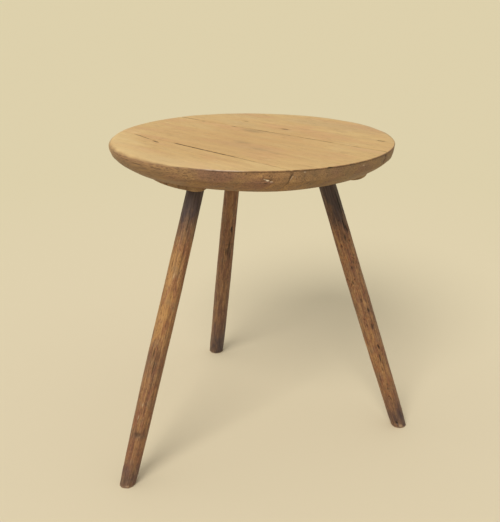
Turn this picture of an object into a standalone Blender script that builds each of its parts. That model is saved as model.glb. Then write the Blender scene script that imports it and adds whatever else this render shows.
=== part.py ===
"""Cricket table: a round top of three thick boards on two battens and three splayed legs.

The top's boards are dowelled edge to edge and nailed to the battens from below. Each leg is
shaved round, swells a little at mid height, and ends in a tenon that goes through its batten,
where a wedge spreads it. Lengths are in metres, +Z is up, and the feet stand on z = 0.
"""

import math

import bmesh
import bpy
from mathutils import Matrix, Vector

# Fits and cutters
SEAT_GAP = 0.0003
CUT_OVERRUN = 0.012
MERGE_DISTANCE = 0.00001

# The round top
TABLE_HEIGHT = 0.684
TOP_RADIUS = 0.300
TOP_THICKNESS = 0.046
TOP_ARRIS = 0.0035
EDGE_UPRIGHT = 0.023
EDGE_LEAN = 0.002
UNDER_BEVEL_WIDTH = 0.0345
UNDER_BEVEL_CROWN = 0.002
TOP_STEPS = 112
ARRIS_STEPS = 3
UNDER_BEVEL_STEPS = 4

# The two seams: how far each lies from the top's centre, and its angle to the X axis
FRONT_SEAM_DISTANCE = 0.158
FRONT_SEAM_ANGLE = math.radians(-28.7)
REAR_SEAM_DISTANCE = 0.0676
REAR_SEAM_ANGLE = math.radians(-25.3)

# Dowels across the seams
DOWEL_RADIUS = 0.006
DOWEL_LENGTH = 0.060
DOWEL_CHAMFER = 0.0015
DOWEL_STEPS = 12
DOWEL_PLACE_SHARES = (-0.5, 0.0, 0.5)

# Battens: the long one runs along Y, and the short one meets its inner side along X
BATTEN_THICKNESS = 0.0215
BATTEN_EASE = 0.0015
LONG_BATTEN_WIDTH = 0.139
LONG_BATTEN_INNER_SIDE = 0.033
LONG_BATTEN_RIM_INSET = 0.074
LONG_BATTEN_CORNER = 0.018
SHORT_BATTEN_FRONT = 0.045
SHORT_BATTEN_REAR = 0.035
SHORT_BATTEN_RIM_INSET = 0.050
SHORT_BATTEN_FRONT_CORNER = 0.030
SHORT_BATTEN_REAR_CORNER = 0.004
CORNER_STEPS = 5
RIM_STEPS = 12

# Leg tenons and their wedges
TENON_RADIUS = 0.013
TENON_ROOT = 0.018
TENON_STEPS = 20
WEDGE_THICKNESS = 0.005
WEDGE_TIP_THICKNESS = 0.0015
WEDGE_DEPTH = 0.016
KERF_END_SPACE = 0.001

# Left leg: where its axis meets the batten's underside, where its foot stands, its radii
LEFT_LEG_SIDE_SETBACK = 0.0262
LEFT_LEG_END_SETBACK = 0.0318
LEFT_FOOT_X = -0.1717
LEFT_FOOT_Y = -0.334
LEFT_LEG_TOP_RADIUS = 0.0165
LEFT_LEG_BELLY_RADIUS = 0.0188
LEFT_LEG_FOOT_RADIUS = 0.0170

# Right leg, on the short batten
RIGHT_LEG_END_SETBACK = 0.0884
RIGHT_LEG_ACROSS_SHARE = 0.416
RIGHT_FOOT_X = 0.359
RIGHT_FOOT_Y = 0.050
RIGHT_LEG_TOP_RADIUS = 0.0176
RIGHT_LEG_BELLY_RADIUS = 0.0197
RIGHT_LEG_FOOT_RADIUS = 0.0172

# Back leg, on the long batten
BACK_LEG_SIDE_SETBACK = 0.0398
BACK_LEG_END_SETBACK = 0.1002
BACK_FOOT_X = -0.1813
BACK_FOOT_Y = 0.2746
BACK_LEG_TOP_RADIUS = 0.0166
BACK_LEG_BELLY_RADIUS = 0.0192
BACK_LEG_FOOT_RADIUS = 0.0196

LEG_STEPS = 24
LEG_RINGS = 12

# Forged nails, driven up through the battens
NAIL_LENGTH = 0.048
NAIL_HEAD_RADIUS = 0.0050
NAIL_HEAD_HEIGHT = 0.0022
NAIL_HEAD_CROWN_SHARE = 0.45
NAIL_SHANK_RADIUS = 0.0024
NAIL_TIP_RADIUS = 0.0006
NAIL_STEPS = 6
# Places along each batten as shares of its reach from the top's centre, and across it
LONG_NAIL_SHARES = ((-0.56, 0.22), (-0.78, 0.55), (0.0, 0.22), (-0.16, 0.80), (0.71, 0.45), (0.80, 0.80))
SHORT_NAIL_SHARES = ((0.08, 0.78), (0.36, 0.25), (0.82, 0.80), (0.91, 0.46))

# Heights and reaches that follow from the sizes above
TOP_UNDERSIDE = TABLE_HEIGHT - TOP_THICKNESS
BATTEN_TOP = TOP_UNDERSIDE - SEAT_GAP
BATTEN_UNDERSIDE = BATTEN_TOP - BATTEN_THICKNESS
LEG_SHOULDER = BATTEN_UNDERSIDE - SEAT_GAP
LONG_BATTEN_REACH = TOP_RADIUS - LONG_BATTEN_RIM_INSET
LONG_BATTEN_OUTER_SIDE = LONG_BATTEN_INNER_SIDE + LONG_BATTEN_WIDTH
SHORT_BATTEN_REACH = TOP_RADIUS - SHORT_BATTEN_RIM_INSET
SHORT_BATTEN_WIDTH = SHORT_BATTEN_FRONT + SHORT_BATTEN_REAR
WORKSPACE = 2.0 * TABLE_HEIGHT


# Scene, collections and materials
def new_collection(name, holder=None):
    """Add a collection to the scene, or to another collection."""
    collection = bpy.data.collections.new(name)
    (holder or bpy.context.scene.collection).children.link(collection)
    return collection


def principled(name, colour, roughness, metallic=0.0):
    """Make a plain Principled material."""
    made = bpy.data.materials.new(name)
    made.use_nodes = True
    shader = made.node_tree.nodes["Principled BSDF"]
    shader.inputs["Base Color"].default_value = (*colour, 1.0)
    shader.inputs["Roughness"].default_value = roughness
    shader.inputs["Metallic"].default_value = metallic
    return made


def add_piece(name, mesh, finish):
    """Put a mesh in the table's collection, under the table's empty."""
    piece = bpy.data.objects.new(name, mesh)
    table.objects.link(piece)
    piece.parent = stand
    if not mesh.materials:
        mesh.materials.append(finish)
    return piece


def add_cutter(name, mesh, group=None):
    """Put a mesh in the cutters' collection or a group in it, where it shows as wire."""
    cutter = bpy.data.objects.new(name, mesh)
    (group or cutters).objects.link(cutter)
    cutter.parent = stand
    cutter.hide_render = True
    cutter.display_type = "WIRE"
    return cutter


def mesh_of(name, form):
    """Turn a bmesh into a mesh with its faces pointing out."""
    bmesh.ops.recalc_face_normals(form, faces=form.faces)
    mesh = bpy.data.meshes.new(name)
    form.to_mesh(mesh)
    form.free()
    return mesh


def profile_mesh(name, profile):
    """Half outline of a turned shape, listed down its outer side as (radius, height)."""
    mesh = bpy.data.meshes.new(name)
    edges = [(at, at + 1) for at in range(len(profile) - 1)]
    mesh.from_pydata([(radius, 0.0, height) for radius, height in profile], edges, [])
    return mesh


def turn(piece, steps):
    """Turn a piece's half outline about its own Z axis."""
    screw = piece.modifiers.new("turned", "SCREW")
    screw.axis = "Z"
    screw.steps = steps
    screw.render_steps = steps
    screw.use_merge_vertices = True
    screw.merge_threshold = MERGE_DISTANCE
    screw.use_smooth_shade = True
    return piece


def boolean(piece, operation, other):
    """Cut a piece by another object or a group of them, or join that object to it."""
    step = piece.modifiers.new(f"{operation.lower()} {other.name}", "BOOLEAN")
    step.operation = operation
    step.solver = "EXACT"
    if isinstance(other, bpy.types.Collection):
        step.operand_type = "COLLECTION"
        step.collection = other
    else:
        step.object = other


def box_mesh(name, low, high, place=None):
    """Make a box between two corners, placed by a matrix."""
    form = bmesh.new()
    bmesh.ops.create_cube(form, size=1.0)
    low = Vector(low)
    high = Vector(high)
    size = high - low
    matrix = Matrix.Translation((low + high) / 2) @ Matrix.Diagonal((*size, 1.0))
    bmesh.ops.transform(form, matrix=(place or Matrix()) @ matrix, verts=form.verts)
    return mesh_of(name, form)


# The round top
def top_profile():
    """Half outline of the top: soft arris, upright edge, then a crowned bevel underneath."""
    points = [(0.0, TABLE_HEIGHT)]
    for step in range(ARRIS_STEPS + 1):
        turn = math.pi / 2 * step / ARRIS_STEPS
        points.append((TOP_RADIUS - TOP_ARRIS * (1 - math.sin(turn)),
                       TABLE_HEIGHT - TOP_ARRIS * (1 - math.cos(turn))))
    bevel_start = TOP_RADIUS - EDGE_LEAN
    bevel_depth = TOP_THICKNESS - EDGE_UPRIGHT
    for step in range(UNDER_BEVEL_STEPS + 1):
        share = step / UNDER_BEVEL_STEPS
        crown = UNDER_BEVEL_CROWN * math.sin(math.pi * share)
        points.append((bevel_start - UNDER_BEVEL_WIDTH * share + crown,
                       TABLE_HEIGHT - EDGE_UPRIGHT - bevel_depth * share))
    points.append((0.0, TOP_UNDERSIDE))
    return points


def seam_frame(angle, distance):
    """Matrix with X along a seam and Y towards the rear, at the seam's nearest point."""
    return Matrix.Rotation(angle, 4, "Z") @ Matrix.Translation((0.0, distance, 0.0))


def seam_cutter(name, seam, side):
    """Box over everything on one side of a seam, up to half a gap short of it."""
    near = side * -SEAT_GAP / 2
    far = side * WORKSPACE
    low = (-WORKSPACE, min(near, far), TOP_UNDERSIDE - CUT_OVERRUN)
    high = (WORKSPACE, max(near, far), TABLE_HEIGHT + CUT_OVERRUN)
    return add_cutter(name, box_mesh(name, low, high, seam))


def dowel_profile(gap):
    """Half outline of a dowel, or with a gap added, of the hole for it."""
    half = DOWEL_LENGTH / 2 + gap
    radius = DOWEL_RADIUS + gap
    return ((0.0, half), (radius - DOWEL_CHAMFER, half), (radius, half - DOWEL_CHAMFER),
            (radius, DOWEL_CHAMFER - half), (radius - DOWEL_CHAMFER, -half), (0.0, -half))


def place_dowels(name, seam, distance):
    """Lay dowels across a seam at mid thickness, and return the group of their holes."""
    holes = new_collection(name + " holes", cutters)
    seam_half = math.sqrt(TOP_RADIUS ** 2 - distance ** 2)
    lying = Matrix.Rotation(math.pi / 2, 4, "X")
    for number, share in enumerate(DOWEL_PLACE_SHARES, 1):
        centre = Matrix.Translation((seam_half * share, 0.0, TABLE_HEIGHT - TOP_THICKNESS / 2))
        dowel = turn(add_piece(f"{name}_{number}", dowel_shape, oak_pale), DOWEL_STEPS)
        hole = turn(add_cutter(f"{name} hole {number}", dowel_hole_shape, holes), DOWEL_STEPS)
        dowel.matrix_local = hole.matrix_local = seam @ centre @ lying
    return holes


# Battens
def rim_end(reach, low_side, high_side, low_corner, high_corner):
    """Points (along, across) of a batten end that follows the rim, with rounded corners."""
    corners = []
    for side, corner, sign in ((low_side, low_corner, -1), (high_side, high_corner, 1)):
        across = side - sign * corner
        along = math.sqrt((reach - corner) ** 2 - across ** 2)
        corners.append((along, across, corner, sign, math.atan2(across, along)))
    points = []
    for along, across, corner, sign, turn in corners:
        start = sign * math.pi / 2
        arc = [start + (turn - start) * step / CORNER_STEPS for step in range(CORNER_STEPS + 1)]
        arc_points = [(along + corner * math.cos(at), across + corner * math.sin(at)) for at in arc]
        if sign < 0:
            points += arc_points
            first_turn = turn
        else:
            for step in range(1, RIM_STEPS):
                at = first_turn + (turn - first_turn) * step / RIM_STEPS
                points.append((reach * math.cos(at), reach * math.sin(at)))
            points += reversed(arc_points)
    return points


def batten(name, outline, finish):
    """Saw a batten from a flat outline, with its edges eased, as a welded mesh."""
    curve = bpy.data.curves.new(name, "CURVE")
    curve.dimensions = "2D"
    curve.fill_mode = "BOTH"
    curve.extrude = BATTEN_THICKNESS / 2 - BATTEN_EASE
    curve.bevel_depth = BATTEN_EASE
    curve.bevel_resolution = 0
    curve.offset = -BATTEN_EASE
    spline = curve.splines.new("POLY")
    spline.points.add(len(outline) - 1)
    spline.use_cyclic_u = True
    for point, (x, y) in zip(spline.points, outline):
        point.co = (x, y, 0.0, 1.0)
    drawn = bpy.data.objects.new(name + " outline", curve)
    table.objects.link(drawn)
    bpy.context.view_layer.update()
    depsgraph = bpy.context.evaluated_depsgraph_get()
    mesh = bpy.data.meshes.new_from_object(drawn.evaluated_get(depsgraph))
    bpy.data.objects.remove(drawn)
    form = bmesh.new()
    form.from_mesh(mesh)
    bmesh.ops.remove_doubles(form, verts=form.verts, dist=MERGE_DISTANCE)
    middle = BATTEN_TOP - BATTEN_THICKNESS / 2
    bmesh.ops.translate(form, verts=form.verts, vec=(0.0, 0.0, middle))
    bpy.data.meshes.remove(mesh)
    return add_piece(name, mesh_of(name, form), finish)


def nail_profile():
    """Half outline of a forged nail, tip up, from the face its head bears on."""
    return ((0.0, NAIL_LENGTH), (NAIL_TIP_RADIUS, NAIL_LENGTH), (NAIL_SHANK_RADIUS, 0.0),
            (NAIL_HEAD_RADIUS, 0.0), (NAIL_HEAD_RADIUS * NAIL_HEAD_CROWN_SHARE, -NAIL_HEAD_HEIGHT),
            (0.0, -NAIL_HEAD_HEIGHT))


def nail_hole_profile():
    """Half outline of the hole that a nail's shank makes."""
    return ((0.0, NAIL_LENGTH + SEAT_GAP), (NAIL_TIP_RADIUS + SEAT_GAP, NAIL_LENGTH + SEAT_GAP),
            (NAIL_SHANK_RADIUS + SEAT_GAP, 0.0), (0.0, 0.0))


def drive_nails(name, places):
    """Drive nails up through a batten, and return the group of their holes."""
    holes = new_collection(name + " holes", cutters)
    for number, (x, y) in enumerate(places, 1):
        nail = turn(add_piece(f"{name}_{number}", nail_shape, iron), NAIL_STEPS)
        hole = turn(add_cutter(f"{name} hole {number}", nail_hole_shape, holes), NAIL_STEPS)
        nail.location = hole.location = (x, y, BATTEN_UNDERSIDE - SEAT_GAP)
    return holes


# Legs
def leg_frame(top, foot, wedge_direction):
    """Matrix at the foot, with Z up the leg's axis and X along its wedge."""
    up = (top - foot).normalized()
    along = (wedge_direction - up * wedge_direction.dot(up)).normalized()
    across = up.cross(along)
    turn = Matrix((along, across, up)).transposed().to_4x4()
    return Matrix.Translation(foot) @ turn


def leg_profile(length, foot_radius, belly_radius, top_radius):
    """Outline down the leg, past the shoulder and the floor, where it is cut off."""
    swell = belly_radius - (foot_radius + top_radius) / 2
    overrun = CUT_OVERRUN + max(foot_radius, top_radius)
    points = [(0.0, length + overrun), (top_radius, length + overrun)]
    for ring in range(LEG_RINGS + 1):
        share = 1 - ring / LEG_RINGS
        straight = foot_radius + (top_radius - foot_radius) * share
        points.append((straight + swell * math.sin(math.pi * share), length * share))
    points += [(foot_radius, -overrun), (0.0, -overrun)]
    return points


def rod_mesh(name, radius, low, high, steps):
    """A plain cylinder on the Z axis between two heights."""
    form = bmesh.new()
    bmesh.ops.create_cone(
        form, cap_ends=True, segments=steps, radius1=radius, radius2=radius, depth=high - low,
        matrix=Matrix.Translation((0.0, 0.0, (low + high) / 2)))
    return mesh_of(name, form)


def wedge_mesh(name, top, gap, rise):
    """Wedge that tapers down the tenon, or with a gap added, the saw kerf that it fills."""
    half_length = math.sqrt(TENON_RADIUS ** 2 - (WEDGE_THICKNESS / 2) ** 2)
    if gap:
        half_length += CUT_OVERRUN
    depth = WEDGE_DEPTH + rise + (KERF_END_SPACE if gap else 0.0)
    slope = (WEDGE_THICKNESS - WEDGE_TIP_THICKNESS) / WEDGE_DEPTH
    thick = WEDGE_THICKNESS + slope * rise + 2 * gap
    thin = thick - slope * depth
    form = bmesh.new()
    bmesh.ops.create_cube(form, size=1.0)
    for vert in form.verts:
        upper = vert.co.z > 0
        vert.co.x *= 2 * half_length
        vert.co.y *= thick if upper else thin
        vert.co.z = top + rise if upper else top + rise - depth
    return mesh_of(name, form)


def build_leg(side, top, foot, radii, wedge_direction, carrier):
    """Shape a leg, saw its foot and tenon to length, wedge it, and bore its batten."""
    frame = leg_frame(top, foot, wedge_direction)
    length = (top - foot).length
    slant = length / (top.z - foot.z)
    tenon_end = length + (BATTEN_TOP - LEG_SHOULDER) * slant
    rise = CUT_OVERRUN

    outline = profile_mesh(f"leg_{side}", leg_profile(length, *radii))
    leg = turn(add_piece(f"leg_{side}", outline, oak_legs), LEG_STEPS)
    leg.matrix_local = frame
    tenon = add_cutter(f"tenon {side}", rod_mesh(
        f"tenon {side}", TENON_RADIUS, length - TENON_ROOT, tenon_end + CUT_OVERRUN, TENON_STEPS))
    hole = add_cutter(f"tenon hole {side}", rod_mesh(
        f"tenon hole {side}", TENON_RADIUS + SEAT_GAP, length - TENON_ROOT,
        tenon_end + CUT_OVERRUN, TENON_STEPS))
    kerf = add_cutter(f"kerf {side}", wedge_mesh(f"kerf {side}", tenon_end, SEAT_GAP, rise))
    wedge = add_piece(f"wedge_{side}", wedge_mesh(f"wedge_{side}", tenon_end, 0.0, rise), oak_pale)
    for item in (tenon, hole, kerf, wedge):
        item.matrix_local = frame

    boolean(leg, "DIFFERENCE", above_shoulder)
    boolean(leg, "UNION", tenon)
    boolean(leg, "DIFFERENCE", above_battens)
    boolean(leg, "DIFFERENCE", below_floor)
    boolean(leg, "DIFFERENCE", kerf)
    boolean(wedge, "DIFFERENCE", above_battens)
    boolean(carrier, "DIFFERENCE", hole)


# Clear the scene and set up
for old in list(bpy.data.objects):
    bpy.data.objects.remove(old)
table = new_collection("cricket_table")
cutters = new_collection("cutters")
stand = bpy.data.objects.new("table stand", None)
table.objects.link(stand)

oak_top = principled("scrubbed top boards", (0.60, 0.39, 0.18), 0.55)
oak_battens = principled("dark battens", (0.10, 0.06, 0.04), 0.75)
oak_legs = principled("shaved legs", (0.30, 0.17, 0.08), 0.60)
oak_pale = principled("riven wedges and dowels", (0.45, 0.29, 0.15), 0.70)
iron = principled("forged iron", (0.05, 0.04, 0.04), 0.65, 1.0)

# Planes that trim the legs
above_shoulder = add_cutter("above shoulder", box_mesh(
    "above shoulder", (-WORKSPACE, -WORKSPACE, LEG_SHOULDER), (WORKSPACE, WORKSPACE, WORKSPACE)))
above_battens = add_cutter("above battens", box_mesh(
    "above battens", (-WORKSPACE, -WORKSPACE, BATTEN_TOP), (WORKSPACE, WORKSPACE, WORKSPACE)))
below_floor = add_cutter("below floor", box_mesh(
    "below floor", (-WORKSPACE, -WORKSPACE, -WORKSPACE), (WORKSPACE, WORKSPACE, 0.0)))

# Battens
end = rim_end(LONG_BATTEN_REACH, -LONG_BATTEN_OUTER_SIDE, -LONG_BATTEN_INNER_SIDE,
              LONG_BATTEN_CORNER, LONG_BATTEN_CORNER)
long_outline = [(across, along) for along, across in end]
long_outline += [(across, -along) for along, across in reversed(end)]
long_batten = batten("long_batten", long_outline, oak_battens)

short_start = SEAT_GAP - LONG_BATTEN_INNER_SIDE
end = rim_end(SHORT_BATTEN_REACH, -SHORT_BATTEN_FRONT, SHORT_BATTEN_REAR,
              SHORT_BATTEN_FRONT_CORNER, SHORT_BATTEN_REAR_CORNER)
short_outline = end + [(short_start, SHORT_BATTEN_REAR), (short_start, -SHORT_BATTEN_FRONT)]
short_batten = batten("short_batten", short_outline, oak_battens)

# Legs, wedges and their holes
left_x = -LONG_BATTEN_INNER_SIDE - LEFT_LEG_SIDE_SETBACK
left_y = LEFT_LEG_END_SETBACK - math.sqrt(LONG_BATTEN_REACH ** 2 - left_x ** 2)
right_x = SHORT_BATTEN_REACH - RIGHT_LEG_END_SETBACK
right_y = SHORT_BATTEN_WIDTH * RIGHT_LEG_ACROSS_SHARE - SHORT_BATTEN_FRONT
back_x = -LONG_BATTEN_INNER_SIDE - BACK_LEG_SIDE_SETBACK
back_y = math.sqrt(LONG_BATTEN_REACH ** 2 - back_x ** 2) - BACK_LEG_END_SETBACK
build_leg("left", Vector((left_x, left_y, LEG_SHOULDER)), Vector((LEFT_FOOT_X, LEFT_FOOT_Y, 0.0)),
          (LEFT_LEG_FOOT_RADIUS, LEFT_LEG_BELLY_RADIUS, LEFT_LEG_TOP_RADIUS),
          Vector((1.0, 0.0, 0.0)), long_batten)
build_leg("right", Vector((right_x, right_y, LEG_SHOULDER)),
          Vector((RIGHT_FOOT_X, RIGHT_FOOT_Y, 0.0)),
          (RIGHT_LEG_FOOT_RADIUS, RIGHT_LEG_BELLY_RADIUS, RIGHT_LEG_TOP_RADIUS),
          Vector((0.0, 1.0, 0.0)), short_batten)
build_leg("back", Vector((back_x, back_y, LEG_SHOULDER)), Vector((BACK_FOOT_X, BACK_FOOT_Y, 0.0)),
          (BACK_LEG_FOOT_RADIUS, BACK_LEG_BELLY_RADIUS, BACK_LEG_TOP_RADIUS),
          Vector((1.0, 0.0, 0.0)), long_batten)

# Nails and their holes
long_places = [(LONG_BATTEN_WIDTH * across - LONG_BATTEN_OUTER_SIDE, LONG_BATTEN_REACH * along)
               for along, across in LONG_NAIL_SHARES]
short_places = [(SHORT_BATTEN_REACH * along, SHORT_BATTEN_WIDTH * across - SHORT_BATTEN_FRONT)
                for along, across in SHORT_NAIL_SHARES]
nail_shape = profile_mesh("forged nail", nail_profile())
nail_hole_shape = profile_mesh("nail hole", nail_hole_profile())
long_nail_holes = drive_nails("long_batten_nail", long_places)
short_nail_holes = drive_nails("short_batten_nail", short_places)
boolean(long_batten, "DIFFERENCE", long_nail_holes)
boolean(short_batten, "DIFFERENCE", short_nail_holes)

# Boards, their seams and the dowels that join them
front_seam = seam_frame(FRONT_SEAM_ANGLE, -FRONT_SEAM_DISTANCE)
rear_seam = seam_frame(REAR_SEAM_ANGLE, REAR_SEAM_DISTANCE)
dowel_shape = profile_mesh("dowel", dowel_profile(0.0))
dowel_hole_shape = profile_mesh("dowel hole", dowel_profile(SEAT_GAP))
front_holes = place_dowels("front_seam_dowel", front_seam, FRONT_SEAM_DISTANCE)
rear_holes = place_dowels("rear_seam_dowel", rear_seam, REAR_SEAM_DISTANCE)
behind_front = seam_cutter("behind front seam", front_seam, 1)
before_front = seam_cutter("before front seam", front_seam, -1)
behind_rear = seam_cutter("behind rear seam", rear_seam, 1)
before_rear = seam_cutter("before rear seam", rear_seam, -1)
top_shape = profile_mesh("round top", top_profile())
for name, cuts in (("top_board_front", (behind_front, front_holes)),
                   ("top_board_middle", (before_front, behind_rear, front_holes, rear_holes)),
                   ("top_board_rear", (before_rear, rear_holes))):
    board = turn(add_piece(name, top_shape, oak_top), TOP_STEPS)
    for cut in (*cuts, long_nail_holes, short_nail_holes):
        boolean(board, "DIFFERENCE", cut)

# Stand the table on the centre of its bounding box
bpy.context.view_layer.update()
depsgraph = bpy.context.evaluated_depsgraph_get()
points = []
for piece in table.objects:
    if piece.type == "MESH":
        shaped = piece.evaluated_get(depsgraph)
        points += [piece.matrix_world @ vert.co for vert in shaped.to_mesh().vertices]
        shaped.to_mesh_clear()
for axis in (0, 1):
    along = [point[axis] for point in points]
    stand.location[axis] = -(min(along) + max(along)) / 2
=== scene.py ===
from math import atan2, cos, degrees, exp, hypot, pi, radians, sin, tau

import bmesh
import bpy
from mathutils import Matrix, Vector, noise


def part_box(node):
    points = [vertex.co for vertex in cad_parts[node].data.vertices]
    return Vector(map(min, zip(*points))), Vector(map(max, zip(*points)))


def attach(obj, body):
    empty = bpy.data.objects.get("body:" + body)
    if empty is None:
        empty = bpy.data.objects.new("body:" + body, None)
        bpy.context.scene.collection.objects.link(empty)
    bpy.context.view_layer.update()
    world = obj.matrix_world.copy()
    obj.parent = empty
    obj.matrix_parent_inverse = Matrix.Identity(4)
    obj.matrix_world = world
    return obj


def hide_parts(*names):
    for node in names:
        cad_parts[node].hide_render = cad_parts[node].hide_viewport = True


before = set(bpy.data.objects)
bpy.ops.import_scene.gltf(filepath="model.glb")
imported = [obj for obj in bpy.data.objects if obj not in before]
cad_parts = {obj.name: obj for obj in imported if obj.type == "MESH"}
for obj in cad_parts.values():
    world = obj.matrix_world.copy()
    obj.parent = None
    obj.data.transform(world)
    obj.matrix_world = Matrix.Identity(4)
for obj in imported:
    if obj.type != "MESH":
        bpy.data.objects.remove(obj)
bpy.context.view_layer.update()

# The camera stands in front of the table at about eye height, and looks down on the top.
# It was fitted to the rim, the three feet and the thickness of the top.
CAMERA_PLACE = (0.3697, -1.3979, 0.9775)
CAMERA_TURN, CAMERA_PITCH, CAMERA_ROLL = 16.06, 68.7, 0.34
camera_data = bpy.data.cameras.new("camera")
camera_data.sensor_width = 36.0
camera_data.lens = 48.276
camera = bpy.data.objects.new("camera", camera_data)
camera.matrix_world = (Matrix.Translation(CAMERA_PLACE)
                       @ Matrix.Rotation(radians(CAMERA_TURN), 4, "Z")
                       @ Matrix.Rotation(radians(CAMERA_PITCH), 4, "X")
                       @ Matrix.Rotation(radians(CAMERA_ROLL), 4, "Z"))
scene = bpy.context.scene
scene.collection.objects.link(camera)
scene.camera = camera
scene.view_settings.view_transform = "Standard"


# The room is a plain cream floor that runs back to a wall of nearly the same colour.
# A soft lamp shines down from in front and a weak one from the left, and the pale room lights
# the rest.
def linear(code):
    """Turn an sRGB hex colour into linear values, as a colour socket takes them."""
    channels = [int(code[at:at + 2], 16) / 255 for at in (1, 3, 5)]
    return (*[c / 12.92 if c <= 0.04045 else ((c + 0.055) / 1.055) ** 2.4 for c in channels], 1.0)


def add_node(tree, kind, sockets={}, stops=(), **settings):
    """Add a shader node with its settings, its sockets' values or links, and its ramp's stops."""
    made = tree.nodes.new("ShaderNode" + kind)
    for name, value in settings.items():
        setattr(made, name, value)
    for name, value in sockets.items():
        if isinstance(value, bpy.types.NodeSocket):
            tree.links.new(value, made.inputs[name])
        else:
            made.inputs[name].default_value = value
    while stops and len(made.color_ramp.elements) < len(stops):
        made.color_ramp.elements.new(0.5)
    for element, (place, colour) in zip(made.color_ramp.elements if stops else (), stops):
        element.position = place
        element.color = linear(colour) if isinstance(colour, str) else (colour, colour, colour, 1.0)
    return made


def new_material(name, values):
    """Make a node material with its shader's own values, and return it, its tree and its shader."""
    made = bpy.data.materials.new(name)
    made.use_nodes = True
    shader = made.node_tree.nodes["Principled BSDF"]
    for socket, value in values.items():
        shader.inputs[socket].default_value = value
    return made, made.node_tree, shader


def join_loops(form, loops):
    """Lay faces between each loop of corners and the next one."""
    for inner, outer in zip(loops, loops[1:]):
        for at, corner in enumerate(inner):
            after = (at + 1) % len(inner)
            form.faces.new((corner, outer[at], outer[after], inner[after]))


FLOOR_RINGS = (0.6, 1.2, 2.4, 5.0, 12.0, 30.0, 90.0)
FLOOR_SIDES, FLOOR_LEVEL = 48, -0.0002
WALL_COLOUR, FLOOR_COLOUR = "#DFD2AD", "#E3D4B2"
FLOOR_FADE = (0.5, 2.5)  # the floor's colour turns to the wall's between these distances
form = bmesh.new()
centre = form.verts.new((0.0, 0.0, FLOOR_LEVEL))
turns = [tau * at / FLOOR_SIDES for at in range(FLOOR_SIDES)]
rings = [[form.verts.new((reach * cos(turn), reach * sin(turn), FLOOR_LEVEL)) for turn in turns]
         for reach in FLOOR_RINGS]
for at in range(FLOOR_SIDES):
    form.faces.new((centre, rings[0][at], rings[0][(at + 1) % FLOOR_SIDES]))
join_loops(form, rings)
floor_mesh = bpy.data.meshes.new("floor")
form.to_mesh(floor_mesh)
form.free()
floor = bpy.data.objects.new("floor", floor_mesh)
scene.collection.objects.link(floor)
# Matt paint: no gloss, and a slow change from the floor's cream to the wall's
painted_floor, tree, shader = new_material("matt painted floor",
                                           {"Roughness": 0.95, "Specular IOR Level": 0.0})
place = add_node(tree, "TexCoord")
far = add_node(tree, "VectorMath", {0: place.outputs["Object"]}, operation="LENGTH")
far = add_node(tree, "MapRange", {"Value": far.outputs["Value"], "From Min": FLOOR_FADE[0],
                                  "From Max": FLOOR_FADE[1]})
far = add_node(tree, "ValToRGB", {"Fac": far.outputs["Result"]},
               stops=((0.0, FLOOR_COLOUR), (1.0, WALL_COLOUR)))
tree.links.new(far.outputs["Color"], shader.inputs["Base Color"])
floor_mesh.materials.append(painted_floor)

ROOM_LIGHT = 0.56
world = bpy.data.worlds.new("pale room")
world.use_nodes = True
scene.world = world
tree = world.node_tree
tree.nodes.clear()
path = add_node(tree, "LightPath")
seen = add_node(tree, "Math", {0: path.outputs["Is Camera Ray"], 1: path.outputs["Is Glossy Ray"]},
                operation="MAXIMUM")
seen = add_node(tree, "Math", {0: seen.outputs["Value"], 1: path.outputs["Is Transmission Ray"]},
                operation="MAXIMUM")
light = add_node(tree, "Background", {"Color": linear("#FFFFFF"), "Strength": ROOM_LIGHT})
wall = add_node(tree, "Background", {"Color": linear(WALL_COLOUR), "Strength": 1.0})
mixed = add_node(tree, "MixShader", {0: seen.outputs["Value"], 1: light.outputs[0], 2: wall.outputs[0]})
add_node(tree, "OutputWorld", {"Surface": mixed.outputs[0]})

# Each lamp: name, the way its light falls, its breadth in the sky in degrees, its strength
for name, way, breadth, strength in (("key lamp", (0.1, 0.75, -0.72), 28.0, 1.75),
                                     ("side lamp", (0.75, 0.3, -0.6), 60.0, 0.22)):
    lamp_data = bpy.data.lights.new(name, "SUN")
    lamp_data.angle = radians(breadth)
    lamp_data.energy = strength
    lamp = bpy.data.objects.new(name, lamp_data)
    lamp.rotation_euler = Vector(way).to_track_quat("-Z", "Y").to_euler()
    scene.collection.objects.link(lamp)


# The round top is three thick boards, jointed edge to edge, sawn round and bevelled underneath.
# Years of scrubbing have hollowed it, rounded its arris and opened the front seam.
boxes = [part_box(f"top_board_{part}") for part in ("front", "middle", "rear")]
top_low, top_high = [Vector([pick(box[end][axis] for box in boxes) for axis in range(3)])
                     for end, pick in ((0, min), (1, max))]
TOP_PLACE = Vector(((top_low.x + top_high.x) / 2, (top_low.y + top_high.y) / 2, 0.0))
TOP_HEIGHT, TOP_UNDERSIDE = top_high.z, top_low.z
TOP_RADIUS = 0.3
ARRIS = 0.0018
EDGE_UPRIGHT, EDGE_LEAN = 0.023, 0.002
BEVEL_WIDTH, BEVEL_CROWN = 0.0345, 0.002
BEVEL_RISE = TOP_HEIGHT - EDGE_UPRIGHT - TOP_UNDERSIDE
BEVEL_SLOPE = BEVEL_WIDTH / BEVEL_RISE
SPOKES = 480
UPWARDS = Vector((0.0, 0.0, 1.0))
# Each seam: its angle in degrees and its distance from the top's centre, towards the rear
FRONT_SEAM = (-28.7, -0.158)
REAR_SEAM = (-25.3, 0.0676)
GRAIN_ANGLE = -27.0


def ramp(low, high, value):
    """Rise smoothly from 0 at low to 1 at high."""
    share = min(1.0, max(0.0, (value - low) / (high - low)))
    return share * share * (3 - 2 * share)


def wave(x, y, z, seed):
    """Smooth random value from 0 to 1 at a point."""
    return 0.5 + 0.5 * noise.noise(Vector((x + 31.7 * seed, y - 17.3 * seed, z + 7.9 * seed)))


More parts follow.
